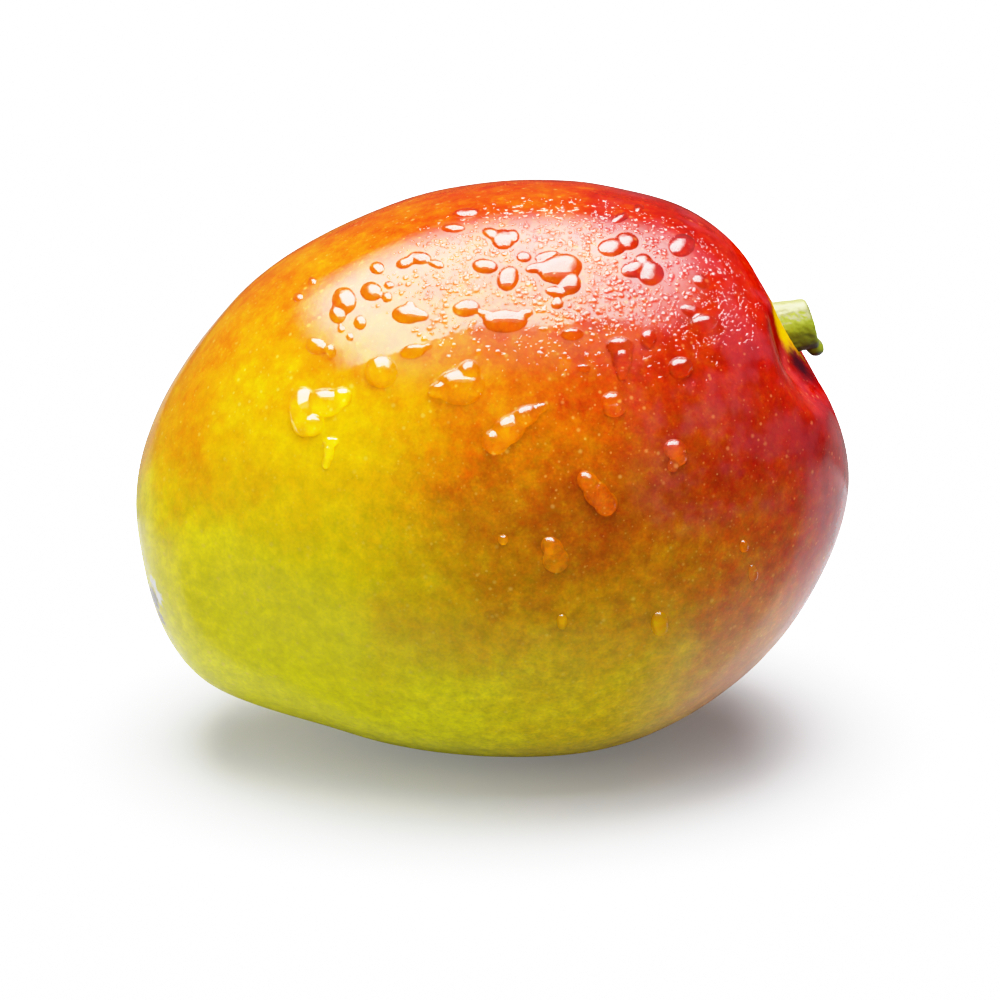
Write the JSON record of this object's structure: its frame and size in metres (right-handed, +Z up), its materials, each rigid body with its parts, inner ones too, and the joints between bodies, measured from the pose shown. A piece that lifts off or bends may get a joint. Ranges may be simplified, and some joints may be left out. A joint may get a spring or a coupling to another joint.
{
  "type": "mango",
  "caption": "Ripe whole mango, a plump oval fruit with blushed red, orange and green skin and a short cut stem, resting on a small flat spot.",
  "frame": {"origin": "bottom centre of the bounding box, level with the flat spot the fruit rests on", "axes": "+X from the apex to the stem end, +Y from one cheek to the other, +Z up"},
  "size_m": [0.1166, 0.0874, 0.0945],
  "materials": {
    "skin": "waxy fruit skin, glossy, yellow-green below to red at the stem end",
    "stem": "fresh green bark, slightly rough"
  },
  "bodies": {
    "root": {"fruit": "skin", "stem": "stem"}
  },
  "joints": []
}
